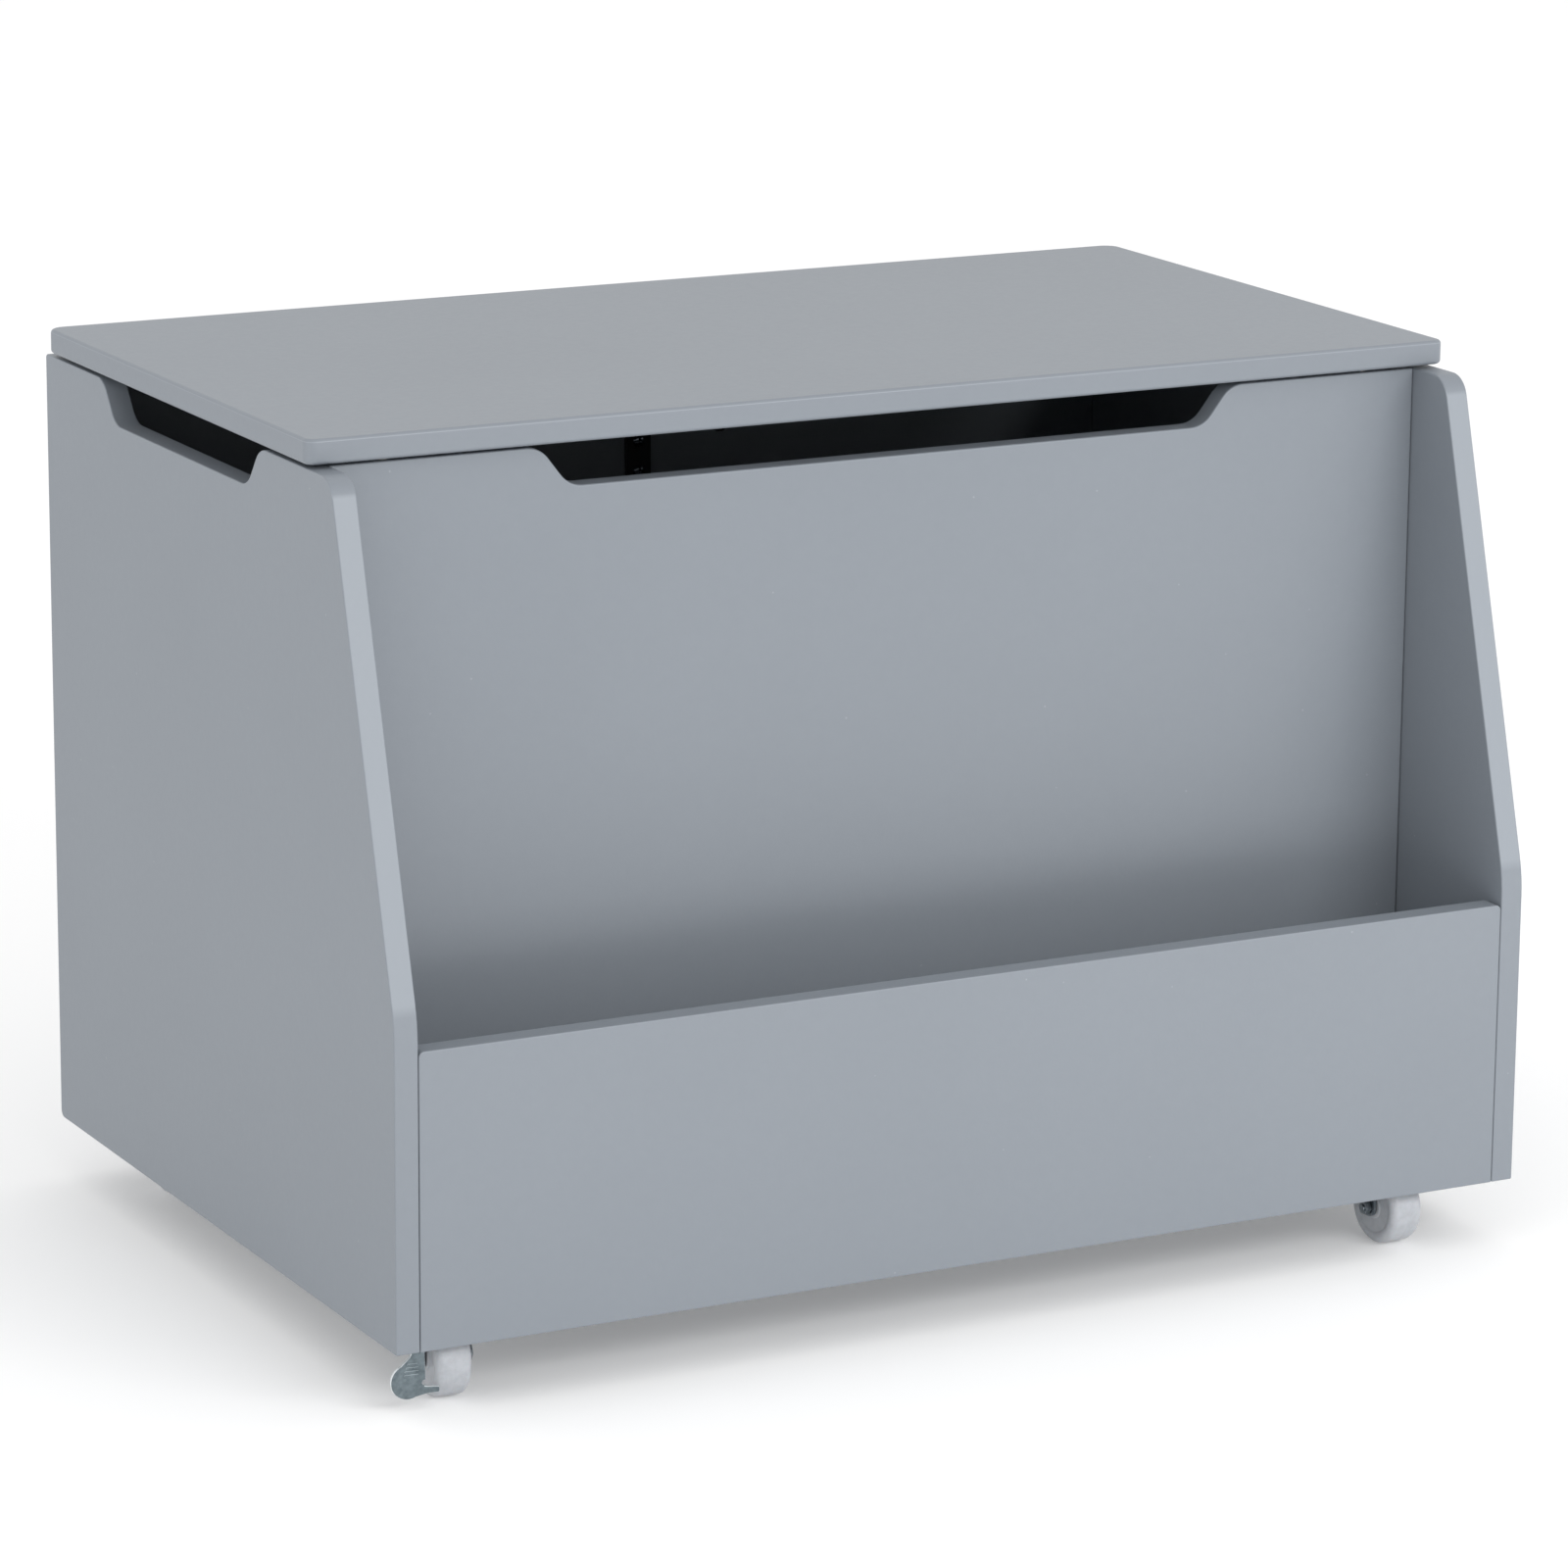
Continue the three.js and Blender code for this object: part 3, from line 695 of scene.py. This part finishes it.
def lid_bracket(x, under):
    """A foot under the lid, with a lug for the link's rivet."""
    y, z = RIVET_LID
    lug = outline([(y - 14, LID_Z - 1, 0), (y - 6.5, z - 6.5, 6), (y + 6.5, z - 6.5, 6),
                   (y + 14, LID_Z - 1, 0)], 9)
    foot = slab(rect(x, y - 24, x + 16, y + 24, 3), "z", under, 2, 0.5, 3)
    piece("stay_lid_plate", foot, "lid", "black_steel", ["stay_lid_bracket"], [eye(RIVET_LID, x)],
          [slab(lug, "x", x, GAUGE, 0.3, 2)])


def lid_stay():
    lid_x, under = EAR_X + 3 * PITCH, LID_Z - GAP - 2
    box_bracket()
    stay_bars()
    lid_bracket(lid_x, under)
    for k, (name, p, body) in enumerate((("box", RIVET_BOX, "carcass"),
                                         ("elbow", RIVET_ELBOW, "stay_arm"),
                                         ("lid", RIVET_LID, "lid"))):
        rivet(f"stay_pin_{name}", p, EAR_X + k * PITCH - 1.4, EAR_X + (k + 1) * PITCH + 3.4, body,
              f"stay_rivet_{name}")
    sites = [(STAY_X, BACK_FACE - 2, RIVET_BOX[1] - drop) for drop in (63.5, 43.5)]
    bright = screws("stay_box_screws", sites, "-y", 4.0, "carcass", "zinc_steel", 1.6)
    bright.data.materials[0] = POLISHED
    sites = [(lid_x + 9, RIVET_LID[0] + s * 16, under) for s in (-1, 1)]
    screws("stay_lid_screws", sites, "-z", 3.6, "lid", "zinc_steel", 1.4)


# ---- castors ---------------------------------------------------------------------------------
# A castor's own axes: the swivel axis on Z, the floor at 0, the wheel trailing to -Y.
def top_plate(c, place):
    """The screwed plate with its pressed cup, its screws, and the kingpin."""
    plate = slab(rect(-19, -26, 19, 26, 5, 9), "z", CASTOR_H - 2, 2, 0.5, 3)
    cup = turned([(3.5, 0), (11.6, 0), (13.0, 1.2), (13.0, 3.2), (3.5, 3.2)], "z",
                 (0, 0, CASTOR_H - 4.6), closed=True)
    hole = rod(3.5, "z", (0, 0, 50), 20)
    piece(f"{c}_top_plate", plate.move(place), "carcass", "zinc_steel", [f"{c}_plate"],
          [hole.move(place)], [cup.move(place)])
    heads = [(i * 13.5, j * 20.5, CASTOR_H - 2) for i in (-1, 1) for j in (-1, 1)]
    sites = [tuple(place @ Vector(p)) for p in heads]
    screws(f"{c}_plate_screws", sites, "-z", 3.6, "carcass", "zinc_steel", 1.5)
    pin = [(2.0, 0), (5.4, 0.3), (6.0, 1.2), (6.0, 3.0), (3.0, 3.0), (3.0, 10.7)]
    piece(f"{c}_king_rivet", turned(pin, "z", (0, 0, FORK_TOP - 3.4), 32).move(place), "carcass",
          "zinc_steel", [f"{c}_kingpin"])


def in_metres(place):
    """A placement in millimetres, as one for the data of an object already in the frame."""
    shift, metric = Matrix.Translation(SHIFT * MM), place.copy()
    metric.translation = place.translation * MM
    return shift @ metric @ shift.inverted()


def fork(c, place):
    """A stamped fork: a folded channel trimmed to the side profile, with a raised cup."""
    out, top, foot = LEG_IN + LEG_T, FORK_TOP + 2, 8
    channel = outline([(-out, foot, 0), (-LEG_IN, foot, 0), (-LEG_IN, FORK_TOP, 1.2),
                       (LEG_IN, FORK_TOP, 1.2), (LEG_IN, foot, 0), (out, foot, 0), (out, top, 3),
                       (-out, top, 3)], 9)
    y, z = AXLE
    side = outline([(12, top + 1, 0), (-13, top + 1, 0), (y - 6, z + 4, 5), (y - 6, z - 6, 5.9),
                    (y + 6, z - 6, 5.9), (y + 9, z + 8, 6)], 9)
    cup = turned([(10.0, 0), (10.0, 0.9), (9.4, 1.5), (3.5, 1.5), (3.5, 0)], "z",
                 (0, 0, top - 0.9))
    obj = to_object(f"{c}_fork_channel", slab(channel, "y", -40, 60))
    boolean(obj, [slab(side, "x", -20, 40)], "INTERSECT")
    boolean(obj, [cup], "UNION")
    boolean(obj, [rod(2.9, "x", (-20, *AXLE), 40), rod(3.5, "z", (0, 0, top - 4), 8)])
    obj.data.transform(in_metres(place))
    dress(obj, f"{c}_fork", "zinc_steel", [f"{c}_fork"], 50)


def wheel_shell():
    """Solid wheel: rounded shoulders, a faint mould line, dished faces with a hub boss."""
    h, s = WHEEL_W / 2, 4.6
    right = [(3.0, h - 0.2), (7.0, h - 0.2), (7.6, h - 0.7), (8.2, h - 1.1), (15.8, h - 1.1),
             (16.8, h - 0.7), (17.6, h - 0.15)]
    turns = [math.pi / 2 * i / 10 for i in range(11)]
    right += [(WHEEL_R - s + s * math.sin(t), h - s + s * math.cos(t)) for t in turns]
    right += [(WHEEL_R, 0.5), (WHEEL_R - 0.12, 0.25)]
    return turned(both_ends(right, 0), "x", (0, *AXLE), 96, closed=True)


def hexagon(r, x0, x1):
    """A hex nut or bolt head round the axle, its rim chamfered."""
    shape = [Vector((AXLE[0] + p.x, AXLE[1] + p.y)) for p in circle(r, 6)]
    return slab(shape, "x", x0, x1 - x0, 0.5, 2)


def wheel_and_axle(c, place):
    piece(f"{c}_tyre", wheel_shell().move(place), f"{c}_wheel", "wheel_nylon", [f"{c}_wheel"])
    out = LEG_IN + LEG_T + GAP
    bolt = rod(2.4, "x", (-out - 5, *AXLE), 2 * out + 8.4, 28, 0.4)
    ends = [hexagon(5.4, out, out + 3.4), hexagon(4.6, -out - 4, -out)]
    piece(f"{c}_axle_bolt", bolt.move(place), f"{c}_fork", "zinc_steel", [f"{c}_axle"], (),
          [end.move(place) for end in ends])


def pedal_parts(s):
    """The pad, what is joined to it, and what is cut out of it; s is the side it stands on.

    Neck and tongue lie a little behind the pad's faces, so that no two faces coincide.
    """
    x, y, z = s * PAD_X, PAD_Y, PAD_Z
    disc = slab(circle(PAD_R, 72, x, z), "y", y, 2.0, 0.45, 3)
    neck = slab(outline([(s * 19.6, 39.4, 1.5), (s * 27.4, 39.4, 1.5), (s * 27.4, 34.5, 5),
                         (s * 34.5, 28, 0.3), (x, z, 0.3), (s * 18.8, 20.5, 0.6)], 9),
                "y", y + 0.03, 1.94, 0.45, 3)
    tongue = slab(outline([(s * 10.3, 10.6, 1.2), (s * 10.3, 14.1, 1.2), (s * 20, 15.4, 0.8),
                           (s * 26, 15.4, 0.3), (s * 26, 9.2, 0.3), (s * 17, 10.8, 2)], 9),
                  "y", y + 0.05, 1.9, 0.45, 3)
    x0, x1 = sorted((s * (LEG_IN + LEG_T + 0.5), s * 28))
    barrel = rod(3.1, "x", (x0, *PEDAL_PIVOT), x1 - x0, 36, 0.4)
    x0, x1 = sorted((s * 20.4, s * 26.6))
    arm = slab(rect(x0, y + 1, x1, PEDAL_PIVOT[0] - 2.2, 0.5), "z", PEDAL_PIVOT[1] - 1, 2.8, 0.4, 3)
    ridges = [slab(rect(x - s * dx - w / 2, z + dz - 0.5, x - s * dx + w / 2, z + dz + 0.5, 0.45),
                   "y", y - 0.45, 1.0, 0.3, 2)
              for dx, dz, w in ((2.4, 10.4, 6.5), (2.2, 8.2, 7.5), (2.0, 6.0, 8.5),
                                (1.8, 3.8, 8.5))]
    bore = rod(1.9, "x", (-30, *PEDAL_PIVOT), 60)
    notch = rod(1.8, "y", (s * 19.4, y - 1, 17.6), 4, 32)
    return disc, [neck, tongue, barrel, arm] + ridges, [bore, notch]


def pedal(c, place, side):
    disc, joins, cuts = pedal_parts(side)
    pad = piece(f"{c}_pedal_plate", disc.move(place), f"{c}_pedal", "zinc_steel", [f"{c}_pedal"],
                [shell.move(place) for shell in cuts], [shell.move(place) for shell in joins])
    # The pad gets the zinc with painted dark faces and painted bright edges.
    pad.data.materials[0] = PRESSED_GLINT
    x0, x1 = sorted((side * (LEG_IN + LEG_T + GAP), side * 29))
    pin = rod(1.5, "x", (x0, *PEDAL_PIVOT), x1 - x0, 24, 0.3)
    piece(f"{c}_pedal_axle", pin.move(place), f"{c}_fork", "zinc_steel", [f"{c}_pedal_pin"])


def castor(name, x, y, heading, side):
    c = f"castor_{name}"
    place = Matrix.Translation((x, y, -CLEARANCE)) @ Matrix.Rotation(math.radians(heading), 4, "Z")
    top_plate(c, place)
    fork(c, place)
    wheel_and_axle(c, place)
    if side:
        pedal(c, place, side)


boards()
cams()
bumpers()
for side, sign in SIDES:
    hinge(side, sign * HINGE_X)
lid_stay()
for entry in CASTORS:
    castor(*entry)

# ---- what is left of the CAD nodes gets the same materials -----------------------------------
slots = {row["node"]: row["material_slot"] for row in frame["record"]["subparts"]}
for name, obj in frame["nodes"].items():
    obj.data.materials.clear()
    obj.data.materials.append(MATERIALS[slots[name]])


# ---- floor, light and camera, in metres ------------------------------------------------------
FLOOR_HALF = 30.0
SKY_STRENGTH = 1.05
CAMERA_AT = (-1.788054, -3.42143, 1.239816)
CAMERA_TURN, CAMERA_DOWN, CAMERA_ROLL = 27.6516, 14.0263, 0.4569
LENS, SENSOR = 146.756, 36.0

scene = bpy.context.scene
scene.view_settings.view_transform = "Standard"


def floor_plane():
    mesh = bpy.data.meshes.new("floor")
    s = FLOOR_HALF
    mesh.from_pydata([(-s, -s, 0), (s, -s, 0), (s, s, 0), (-s, s, 0)], [], [(0, 1, 2, 3)])
    floor = bpy.data.objects.new("floor", mesh)
    scene.collection.objects.link(floor)
    floor.data.materials.append(floor_white())


def sky():
    world = bpy.data.worlds.new("studio")
    scene.world = world
    world.use_nodes = True
    background = world.node_tree.nodes["Background"].inputs
    background["Color"].default_value = (1, 1, 1, 1)
    background["Strength"].default_value = SKY_STRENGTH


def softbox(name, at, target, size, power):
    """A rectangular area light at one point, turned to another."""
    data = bpy.data.lights.new(name, "AREA")
    data.shape, data.size, data.size_y, data.energy = "RECTANGLE", size[0], size[1], power
    obj = bpy.data.objects.new(name, data)
    scene.collection.objects.link(obj)
    obj.location = at
    obj.rotation_euler = (Vector(target) - Vector(at)).to_track_quat("-Z", "Y").to_euler()
    obj.visible_camera = False


def camera():
    """Stands to the left of the front, turned to the right and a little down."""
    data = bpy.data.cameras.new("camera")
    data.sensor_width, data.lens, data.clip_end = SENSOR, LENS, 100.0
    obj = bpy.data.objects.new("camera", data)
    scene.collection.objects.link(obj)
    place = Matrix.Translation(CAMERA_AT)
    for degrees, axis in ((-CAMERA_TURN, "Z"), (90 - CAMERA_DOWN, "X"), (CAMERA_ROLL, "Z")):
        place = place @ Matrix.Rotation(math.radians(degrees), 4, axis)
    obj.matrix_world = place
    scene.camera = obj


floor_plane()
sky()
softbox("key", (0.9, -3.2, 1.9), (0.0, -0.2, 0.3), (2.4, 0.8), 47)
softbox("floor_card", (0.1, -0.87, 0.02), (0.1, -0.147, 0.35), (2.2, 0.28), 2.0)
softbox("far_card", (0.5, -1.3, 0.02), (0.1, -0.147, 0.45), (2.0, 0.4), 2.8)
softbox("left_fill", (-3.2, -0.2, 0.9), (-0.4, 0.0, 0.3), (2.2, 1.4), 14)
camera()
